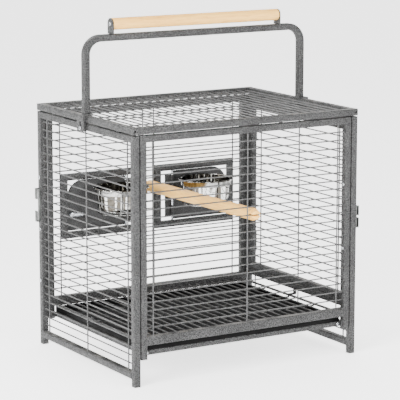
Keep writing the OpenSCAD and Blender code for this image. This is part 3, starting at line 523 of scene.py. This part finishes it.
def finish_piece(name, shape, node, material=None, merged=True):
    if merged:
        bmesh.ops.recalc_face_normals(shape, faces=shape.faces)
    for edge in shape.edges:
        edge.smooth = len(edge.link_faces) == 2 and edge.calc_face_angle(0) < SHARP
    for face in shape.faces:
        face.smooth = True
    mesh = bpy.data.meshes.new(name)
    shape.to_mesh(mesh)
    shape.free()
    mesh.materials.append(FINISHES[material or slot_of[node]])
    piece = bpy.data.objects.new(name, mesh)
    bpy.context.scene.collection.objects.link(piece)
    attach(piece, body_of[node])
    return piece


print("edges sharper than", round(math.degrees(SHARP)), "degrees stay sharp")

# %% [markdown]
# ### Carrying a node over
# Where the node already has the right shape, the finished piece starts as a copy of it. The node's
# mesh is loose triangles, so its doubles are merged and its flat areas dissolved to whole faces.
# Then a fine bevel takes the razor edge off sheet metal, because no real edge is perfectly sharp.

# %% Carried pieces
def merged_copy(node):
    shape = bmesh.new()
    shape.from_mesh(nodes[node].data)
    bmesh.ops.remove_doubles(shape, verts=shape.verts, dist=0.00001)
    bmesh.ops.dissolve_limit(shape, angle_limit=math.radians(0.5), verts=shape.verts, edges=shape.edges)
    return shape


def soften(shape, width, segments=2):
    hard = [e for e in shape.edges if len(e.link_faces) == 2 and e.calc_face_angle(0) > SHARP]
    bmesh.ops.bevel(shape, geom=hard, offset=width, offset_type="OFFSET", affect="EDGES", segments=segments,
                    profile=0.5, material=-1, clamp_overlap=True)


def carry(node, width=0.0, material=None):
    shape = merged_copy(node)
    if width:
        soften(shape, width)
    piece = finish_piece(node + "_finished", shape, node, material, merged=False)
    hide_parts(node)


FRAMES = ["left_side_frame", "right_side_frame", "front_frame", "back_frame", "top_frame", "base_ring",
          "side_door_frame", "handle_tube"]
for node in FRAMES:
    carry(node)
PLATES = {"feeder_frame_left": 0.8, "feeder_frame_right": 0.8, "feeder_panel_left": 0.25,
          "feeder_panel_right": 0.25, "handle_bracket_left": 0.3, "handle_bracket_right": 0.3,
          "grip_plates": 0.4, "latch_keeper": 0.3, "strap_hooks": 0.3, "latch_housing": 0.3,
          "hinge_leaves_post": 0.2, "hinge_leaves_door": 0.2, "leg_plugs": 0.3, "grate_clips": 0.3,
          "top_spacers": 0.2, "tray": 0.5, "feeder_latch_left": 0.3, "feeder_latch_right": 0.3,
          "hinge_pins": 0.2, "feeder_pivot_left": 0.2, "feeder_pivot_right": 0.2, "latch_bolt": 0.3}
DARK_PLATES = ["latch_keeper", "strap_hooks", "latch_housing", "hinge_leaves_post", "hinge_leaves_door"]
for node, width in PLATES.items():
    carry(node, width * MM, "dark_zinc" if node in DARK_PLATES else None)
print("carried", len(FRAMES) + len(PLATES), "nodes")

# %% [markdown]
# ### Wire grilles
# A grille is straight wire laid in two directions and resistance welded where it crosses. The node
# gives each wire's place: every wire that starts at one end of the grille leaves a ring of vertices
# in that end plane. Each wire becomes a round bar that flares a little where it is welded into the
# tube, and a small flattened nugget sits on every crossing.

# %% Finding the wires
X, Y, Z = 0, 1, 2


def islands(shape):
    """The points of each loose part, in the order of the parts' first vertices."""
    seen = set()
    for first in shape.verts:
        if first in seen:
            continue
        seen.add(first)
        points, edge = [], [first]
        while edge:
            vert = edge.pop()
            points.append(vert.co.copy())
            for other in (e.other_vert(vert) for e in vert.link_edges):
                if other not in seen:
                    seen.add(other)
                    edge.append(other)
        yield points


def box_of(points):
    return (Vector([min(p[i] for p in points) for i in range(3)]),
            Vector([max(p[i] for p in points) for i in range(3)]))


NEXT_WIRE = 2 * MM
THINNEST = 1.8 * MM
SAME_PLANE = 0.01 * MM


def ends_along(points, run, across, off):
    """For each wire that runs along one axis: its place across, its place off the plane, its thickness."""
    start = min(p[run] for p in points)
    ring = sorted((p for p in points if abs(p[run] - start) < SAME_PLANE), key=lambda p: p[across])
    groups, last = [], None
    for p in ring:
        if last is None or p[across] - last > NEXT_WIRE:
            groups.append([])
        groups[-1].append(p)
        last = p[across]
    found = []
    for group in groups:
        width = group[-1][across] - group[0][across]
        if width > THINNEST:
            offs = [p[off] for p in group]
            found.append(((group[0][across] + group[-1][across]) / 2, (min(offs) + max(offs)) / 2, width))
    return found


sample = ends_along([v.co for v in nodes["front_grille"].data.vertices], X, Z, Y)
print("front grille:", len(sample), "cross wires of", round(sample[0][2] / MM, 2), "mm")

# %% [markdown]
# A wire starts as a capped circle stood on its first end. Its edge is extruded three times: in to
# the wire's own thickness, along the wire, and out again to the flare at the other end.

# %% Making wires and welds
WIRE_SIDES = 12
FLARE = 0.9 * MM
FLARE_WIDTH = 1.45


def standing(place, direction):
    """The transform that stands a shape made along Z at a place, pointing in a direction."""
    return Matrix.Translation(place) @ direction.to_track_quat("Z", "Y").to_matrix().to_4x4()


def extrude(shape, edges):
    """Extrude open edges; the new vertices and the new edges."""
    made = bmesh.ops.extrude_edge_only(shape, edges=edges)["geom"]
    return ([g for g in made if isinstance(g, bmesh.types.BMVert)],
            [g for g in made if isinstance(g, bmesh.types.BMEdge)])


def add_wire(shape, start, end, radius):
    run = (end - start).normalized()
    made = bmesh.ops.create_circle(shape, cap_ends=True, segments=WIRE_SIDES, radius=radius * FLARE_WIDTH,
                                   matrix=standing(start, run))["verts"]
    ring = list(dict.fromkeys(e for v in made for e in v.link_edges if all(w in made for w in e.verts)))
    straight = (end - start).length - 2 * FLARE
    for reach, scale in ((FLARE, 1 / FLARE_WIDTH), (straight, 1), (FLARE, FLARE_WIDTH)):
        verts, ring = extrude(shape, ring)
        bmesh.ops.translate(shape, verts=verts, vec=run * reach)
        middle = sum((v.co for v in verts), Vector()) / len(verts)
        bmesh.ops.scale(shape, verts=verts, vec=(scale,) * 3, space=Matrix.Translation(-middle))
    bmesh.ops.contextual_create(shape, geom=ring)


def add_weld(shape, place, flat_axis, radius):
    flatten = Vector((1.25, 1.25, 1.25))
    flatten[flat_axis] = 0.72
    bmesh.ops.create_uvsphere(shape, u_segments=8, v_segments=5, radius=radius,
                              matrix=Matrix.Translation(place) @ Matrix.Diagonal(flatten).to_4x4())


def point(axes, values):
    spot = Vector((0, 0, 0))
    for axis, value in zip(axes, values):
        spot[axis] = value
    return spot


def wires_of(node, first, second, off):
    """The two sets of wires of a node, each as start, end and radius."""
    loose, rungs, uprights = merged_copy(node), [], []
    for points in islands(loose):
        low, high = box_of(points)
        for run, across, found in ((first, second, rungs), (second, first, uprights)):
            for at, out, width in ends_along(points, run, across, off):
                axes = (run, across, off)
                found.append((point(axes, (low[run], at, out)), point(axes, (high[run], at, out)), width / 2))
    loose.free()
    return rungs, uprights


def make_wires(node, wires, welds, off, material=None):
    shape = bmesh.new()
    for start, end, radius in wires:
        add_wire(shape, start, end, radius)
    for place, radius in welds:
        add_weld(shape, place, off, radius)
    piece = finish_piece(node + "_wires", shape, node, material)
    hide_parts(node)
    triangles = sum(len(p.vertices) - 2 for p in piece.data.polygons)
    print(node, len(wires), "wires,", len(welds), "welds,", triangles, "triangles")


NUGGET = 0.84


def crossings(rungs, uprights, first, second, off):
    found = []
    for up_start, _, radius in uprights:
        for start, end, _ in rungs:
            if start[first] < up_start[first] < end[first] and abs(start[off] - up_start[off]) < 3 * radius:
                place = up_start.copy()
                place[second] = start[second]
                place[off] = (start[off] + up_start[off]) / 2
                found.append((place, radius * NUGGET))
    return found


def make_grille(node, first, second, off):
    """first and second are the two directions of wire, off is the direction out of the grille."""
    rungs, uprights = wires_of(node, first, second, off)
    make_wires(node, rungs + uprights, crossings(rungs, uprights, first, second, off), off)


for node in ("front_grille", "back_grille_upper", "back_grille_lower", "back_grille_columns"):
    make_grille(node, X, Z, Y)
for node in ("left_side_grille", "right_lower_grille", "side_door_grille"):
    make_grille(node, Y, Z, X)
make_grille("top_grille", X, Y, Z)
bars, _ = wires_of("grate_bars", X, Y, Z)
_, long_wires = wires_of("floor_grate", X, Y, Z)
# The floor grate takes the darkened coat, which is painted shade for the floor of the cage.
make_wires("grate_bars", bars, [], Z, "grate_coat_painted_shade")
make_wires("floor_grate", long_wires, crossings(bars, long_wires, X, Y, Z), Z, "grate_coat_painted_shade")

# %% [markdown]
# ### Pan head screws
# The screws are zinc plated with a cross recess. A head starts flat: a circle with a cross inside it,
# and the area between them filled. The cross is then pushed down, and the circle is stepped outwards
# and down along a quarter round to the seat. The node gives each screw's place, its axis and which of
# its ends is the wide one.

# %% Screws
HEAD_SIDES = 24
HEAD_TALL = 1.8 * MM
HEAD_STEPS = 5
SHANK_R = 1.9 * MM
CROSS = ((0.14, 0.52), (0.14, 0.14), (0.52, 0.14))


def add_head(shape, seat, outward, radius):
    place, tall, flat_r = standing(seat, outward), HEAD_TALL, radius * 0.62
    circle = [shape.verts.new(place @ Vector((flat_r * math.cos(a), flat_r * math.sin(a), tall)))
              for a in (2 * math.pi * k / HEAD_SIDES for k in range(HEAD_SIDES))]
    corners = []
    for quarter in range(4):
        turn_by = Matrix.Rotation(quarter * math.pi / 2, 4, "Z")
        corners += [place @ (turn_by @ Vector((x * radius, -y * radius, tall))) for x, y in CROSS]
    cross = [shape.verts.new(c) for c in corners]
    rim = [shape.edges.new(pair) for pair in zip(circle, circle[1:] + circle[:1])]
    edge = [shape.edges.new(pair) for pair in zip(cross, cross[1:] + cross[:1])]
    bmesh.ops.triangle_fill(shape, use_beauty=True, edges=rim + edge)
    verts, sunk = extrude(shape, edge)
    bmesh.ops.translate(shape, verts=verts, vec=-outward * tall * 0.55)
    bmesh.ops.contextual_create(shape, geom=sunk)
    ring, last_r, last_z = rim, flat_r, tall
    for k in range(1, HEAD_STEPS + 1):
        angle = math.pi / 2 * k / HEAD_STEPS
        next_r = flat_r + (radius - flat_r) * math.sin(angle)
        next_z = tall * 0.35 + tall * 0.65 * math.cos(angle)
        verts, ring = extrude(shape, ring)
        bmesh.ops.translate(shape, verts=verts, vec=outward * (next_z - last_z))
        bmesh.ops.scale(shape, verts=verts, vec=(next_r / last_r,) * 3,
                        space=Matrix.Translation(-(seat + outward * next_z)))
        last_r, last_z = next_r, next_z
    verts, _ = extrude(shape, ring)
    bmesh.ops.translate(shape, verts=verts, vec=-outward * last_z)


def head_end(points, low, high, run):
    """1 if the screw's head is at the high end of its axis, or -1 if it is at the low end."""
    side = (run + 1) % 3
    middle = (low + high) / 2

    def spread_at(end):
        return max((p - middle)[side] for p in points if abs(p[run] - end) < 2.5 * MM)

    return 1.0 if spread_at(high[run]) > spread_at(low[run]) else -1.0


def make_screws(node):
    shape, loose, count = bmesh.new(), merged_copy(node), 0
    for points in islands(loose):
        low, high = box_of(points)
        size = high - low
        run = max(range(3), key=lambda i: size[i])
        outward = Vector((0, 0, 0))
        outward[run] = head_end(points, low, high, run)
        top, bottom = (high, low) if outward[run] > 0 else (low, high)
        seat, tip = (low + high) / 2, (low + high) / 2
        seat[run] = top[run] - outward[run] * HEAD_TALL
        tip[run] = bottom[run]
        add_head(shape, seat, outward, size[(run + 1) % 3] / 2)
        bmesh.ops.create_cone(shape, cap_ends=True, segments=16, radius1=SHANK_R, radius2=SHANK_R,
                              depth=(tip - seat).length, matrix=standing((seat + tip) / 2, outward))
        count += 1
    loose.free()
    piece = finish_piece(node + "_cross_head", shape, node)
    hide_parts(node)
    print(node, count)


for node in sorted(n for n in nodes if n.endswith("_screws")):
    make_screws(node)

# %% [markdown]
# ### Weld beads
# The tubes of each frame are cut square and welded where they meet. A narrow bead runs round the end
# of every rail. It is a small round section carried round the tube's outline, and it rides with the
# frame that it joins.

# %% Beads
TUBE = 12 * MM
TUBE_CORNER = 1.5 * MM
BEAD = 0.75 * MM
BEAD_FROM_POST = 0.25 * MM


def add_bead(shape, middle, run, wide, high):
    """A bead round a bar that runs along one axis; wide and high are half its size on the next two."""
    ways = (run, (run + 1) % 3, (run + 2) % 3)
    outline = []
    for corner_x, corner_y, start in ((1, 1, 0), (-1, 1, 90), (-1, -1, 180), (1, -1, 270)):
        for step in range(3):
            angle = math.radians(start + 45 * step)
            outline.append((corner_x * (wide - TUBE_CORNER) + TUBE_CORNER * math.cos(angle),
                            corner_y * (high - TUBE_CORNER) + TUBE_CORNER * math.sin(angle)))
    rings = []
    for u, v in outline:
        away = Vector((u, v)).normalized()
        ring = []
        for k in range(6):
            angle = 2 * math.pi * k / 6
            out, along = BEAD * 0.55 * math.cos(angle), BEAD * math.sin(angle)
            ring.append(shape.verts.new(middle + point(ways, (along, u + away.x * out, v + away.y * out))))
        rings.append(ring)
    for ring, after in zip(rings, rings[1:] + rings[:1]):
        for k in range(6):
            shape.faces.new((ring[k], ring[(k + 1) % 6], after[(k + 1) % 6], after[k]))


def make_beads(node, places):
    shape = bmesh.new()
    for middle, run, wide, high in places:
        add_bead(shape, middle, run, wide, high)
    piece = finish_piece(node + "_welds", shape, node)
    print(piece.name, len(places))


def post_faces(low, high):
    """Where rails end between two posts whose outer faces are at low and high."""
    return low + TUBE + BEAD_FROM_POST, high - TUBE - BEAD_FROM_POST


half = TUBE / 2
foot_rail, door_rail = 13 * MM + half, 83.5 * MM + half
low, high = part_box("left_side_frame")
for node in ("left_side_frame", "right_side_frame"):
    at_x = sum(c.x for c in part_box(node)) / 2
    rails = [foot_rail, high.z - half] + ([door_rail] if node == "right_side_frame" else [])
    make_beads(node, [(Vector((at_x, y, z)), Y, half, half)
                      for z in rails for y in post_faces(low.y, high.y)])
sill, half_sill, flush = 79 * MM, 8 * MM, half - 0.4 * MM
for node in ("front_frame", "back_frame"):
    low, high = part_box(node)
    at_y = (low.y + high.y) / 2
    make_beads(node, [(Vector((x, at_y, z)), X, flush, tall)
                      for z, tall in ((high.z - half, half), (sill, half_sill))
                      for x in post_faces(low.x, high.x)])
low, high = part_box("side_door_frame")
at_x = (low.x + high.x) / 2
make_beads("side_door_frame", [(Vector((at_x, y, z)), Y, half, half)
                               for z in (low.z + half, high.z - half) for y in post_faces(low.y, high.y)])
low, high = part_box("top_frame")
at_z, thin = (low.z + high.z) / 2, half - 0.3 * MM
make_beads("top_frame", [(Vector((x, y, at_z)), Y, thin, thin)
                         for x in (low.x + half, high.x - half) for y in post_faces(low.y, high.y)])

# %% [markdown]
# ### Bowl holders
# A holder is a flat band under the rim, a round wire ring below the bowl, and wires that lean from
# one to the other. Two arms of the band and two of the ring reach back to the panel.

# %% Holders
def add_ring(shape, centre, radius, thick, steps=72):
    profile = [centre + Vector((radius + thick * math.cos(a), 0, thick * math.sin(a)))
               for a in (2 * math.pi * k / 10 for k in range(10))]
    verts = [shape.verts.new(p) for p in profile]
    edges = [shape.edges.new(pair) for pair in zip(verts, verts[1:] + verts[:1])]
    bmesh.ops.spin(shape, geom=verts + edges, cent=centre, axis=(0, 0, 1), dvec=(0, 0, 0),
                   angle=2 * math.pi, steps=steps, use_merge=True)


BOWL_STEPS = 96
BOWL_RIM = 6 * MM
BAND_TALL, HALF_BAND, BAND_EASE = 10 * MM, 0.75 * MM, 0.35 * MM
RING_R, UPRIGHT_R, ARM_R = 1.2 * MM, 0.6 * MM, 1.1 * MM


def add_band(shape, axis, radius, low, high):
    """A flat band with eased edges, spun round the holder's axis."""
    inner, outer, ease = radius - HALF_BAND, radius + HALF_BAND, BAND_EASE
    section = [(inner, low + ease), (inner + ease, low), (outer - ease, low), (outer, low + ease),
               (outer, high - ease), (outer - ease, high), (inner + ease, high), (inner, high - ease)]
    verts = [shape.verts.new(axis + Vector((r, 0, z))) for r, z in section]
    edges = [shape.edges.new(pair) for pair in zip(verts, verts[1:] + verts[:1])]
    bmesh.ops.spin(shape, geom=verts + edges, cent=axis, axis=(0, 0, 1), dvec=(0, 0, 0),
                   angle=2 * math.pi, steps=BOWL_STEPS, use_merge=True)


def make_holder(side):
    node = "bowl_holder_" + side
    low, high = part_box(node)
    bowl_low, bowl_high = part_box("bowl_" + side)
    axis = (bowl_low + bowl_high) / 2
    axis.z = 0
    body_r = (bowl_high.x - bowl_low.x) / 2 - BOWL_RIM
    band_r, low_r = body_r + 2 * MM, body_r - 3 * MM
    band_low, ring_z = high.z - BAND_TALL, low.z + RING_R
    shape = bmesh.new()
    add_band(shape, axis, band_r, band_low, high.z)
    add_ring(shape, axis + Vector((0, 0, ring_z)), low_r, RING_R)
    for k in range(6):
        way = Vector((math.cos(k * math.pi / 3), math.sin(k * math.pi / 3), 0))
        foot = axis + way * low_r + Vector((0, 0, ring_z))
        add_wire(shape, foot, axis + way * band_r + Vector((0, 0, band_low + 1 * MM)), UPRIGHT_R)
    out = low_r * 0.4
    band_y, low_y = (axis.y + math.sqrt(r ** 2 - out ** 2) for r in (band_r, low_r))
    for x in (axis.x - out, axis.x + out):
        add_wire(shape, Vector((x, low_y, ring_z)), Vector((x, high.y, ring_z)), ARM_R)
        made = bmesh.ops.create_cube(shape, size=1)["verts"]
        bmesh.ops.scale(shape, verts=made, vec=(1.4 * MM, high.y - band_y, BAND_TALL - 0.4 * MM))
        bmesh.ops.translate(shape, verts=made, vec=(x, (high.y + band_y) / 2, (band_low + high.z) / 2))
    bmesh.ops.remove_doubles(shape, verts=shape.verts, dist=0.000001)
    piece = finish_piece(node + "_bent", shape, node, "holder_steel")
    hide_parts(node)
    print(node, "ring", round(2 * low_r / MM, 1), "mm")


make_holder("left")
make_holder("right")

# %% [markdown]
# ### Bowls
# A feeding bowl is drawn from one disc of steel: a flat foot, nearly straight walls, and a rim that
# is turned out flat with a rolled edge. Its profile is half of the section, spun a full turn
# about the bowl's own axis. The profile runs round the outside and back down the inside, so the wall
# has its real thickness.

# %% Bowls
SHEET = 1.0 * MM


def spin_profile(profile, axis_place, steps, axis=(0, 0, 1)):
    shape = bmesh.new()
    verts = [shape.verts.new(p) for p in profile]
    edges = [shape.edges.new(pair) for pair in zip(verts, verts[1:])]
    bmesh.ops.spin(shape, geom=verts + edges, cent=axis_place, axis=axis, dvec=(0, 0, 0),
                   angle=2 * math.pi, steps=steps, use_merge=True)
    bmesh.ops.remove_doubles(shape, verts=shape.verts, dist=0.000001)
    return shape


def curve_between(middle, radius, start, stop, steps):
    """Points of an arc in the bowl's half section, as distance out and height."""
    angles = [math.radians(start + (stop - start) * k / steps) for k in range(steps + 1)]
    return [(middle[0] + radius * math.cos(a), middle[1] + radius * math.sin(a)) for a in angles]


def make_bowl(node):
    low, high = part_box(node)
    centre = Vector(((low.x + high.x) / 2, (low.y + high.y) / 2, low.z))
    rim_r, depth = (high.x - low.x) / 2, high.z - low.z
    body_r, corner, draft, curl = rim_r - BOWL_RIM, 11 * MM, 2 * MM, 0.9 * MM
    bend = (body_r - draft - corner, corner)
    outside = [(0, 0.5 * MM), (bend[0] * 0.6, 0.4 * MM)]
    outside += curve_between(bend, corner, 272, 358, 9)
    outside += [(body_r - 0.3 * MM, depth - SHEET - 1.4 * MM), (body_r + 0.7 * MM, depth - SHEET - 0.2 * MM)]
    roll = curve_between((rim_r - curl, depth - curl), curl, -90, 90, 6)
    inside = [(body_r + 0.9 * MM, depth - 0.1 * MM), (body_r - 0.6 * MM, depth - 1.0 * MM)]
    inside += curve_between(bend, corner - SHEET, 358, 272, 8)
    inside += [(bend[0] * 0.6, SHEET + 0.4 * MM), (0, SHEET + 0.5 * MM)]
    profile = [centre + Vector((out, 0, up)) for out, up in outside + roll + inside]
    shape = spin_profile(profile, centre, BOWL_STEPS)
    piece = finish_piece(node + "_pressed", shape, node)
    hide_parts(node)
    print(node, "rim", round(2 * rim_r / MM, 1), "mm, depth", round(depth / MM, 1), "mm")


make_bowl("bowl_left")
make_bowl("bowl_right")

# %% [markdown]
# ### Wooden pieces
# The grip is a dowel with eased ends, held between its two plates. The perch keeps its node's shape,
# with the thinner ends and the kerfs that hold the wires.

# %% Grip and perch
def make_grip():
    low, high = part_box("grip")
    radius = (high.z - low.z) / 2
    centre_y, centre_z = (low.y + high.y) / 2, (low.z + high.z) / 2
    ease = 1.6 * MM
    quarter = [math.radians(15 * k) for k in range(7)]
    outline = [(0, low.x)]
    outline += [(radius - ease + ease * math.sin(a), low.x + ease - ease * math.cos(a)) for a in quarter]
    outline += [(radius, low.x + (high.x - low.x) * k / 8) for k in range(1, 8)]
    outline += [(radius - ease + ease * math.cos(a), high.x - ease + ease * math.sin(a)) for a in quarter]
    outline += [(0, high.x)]
    profile = [Vector((along, centre_y, centre_z + out)) for out, along in outline]
    shape = spin_profile(profile, (0, centre_y, centre_z), 48, axis=(1, 0, 0))
    piece = finish_piece("grip_dowel", shape, "grip", "grip_wood")
    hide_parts("grip")
    print("grip", round((high.x - low.x) / MM, 1), "mm long and", round(2 * radius / MM, 1), "mm thick")


make_grip()
carry("perch", 0.4 * MM, "perch_wood")

# %% Finish
print("nodes still shown:", [n for n in nodes if not nodes[n].hide_render])
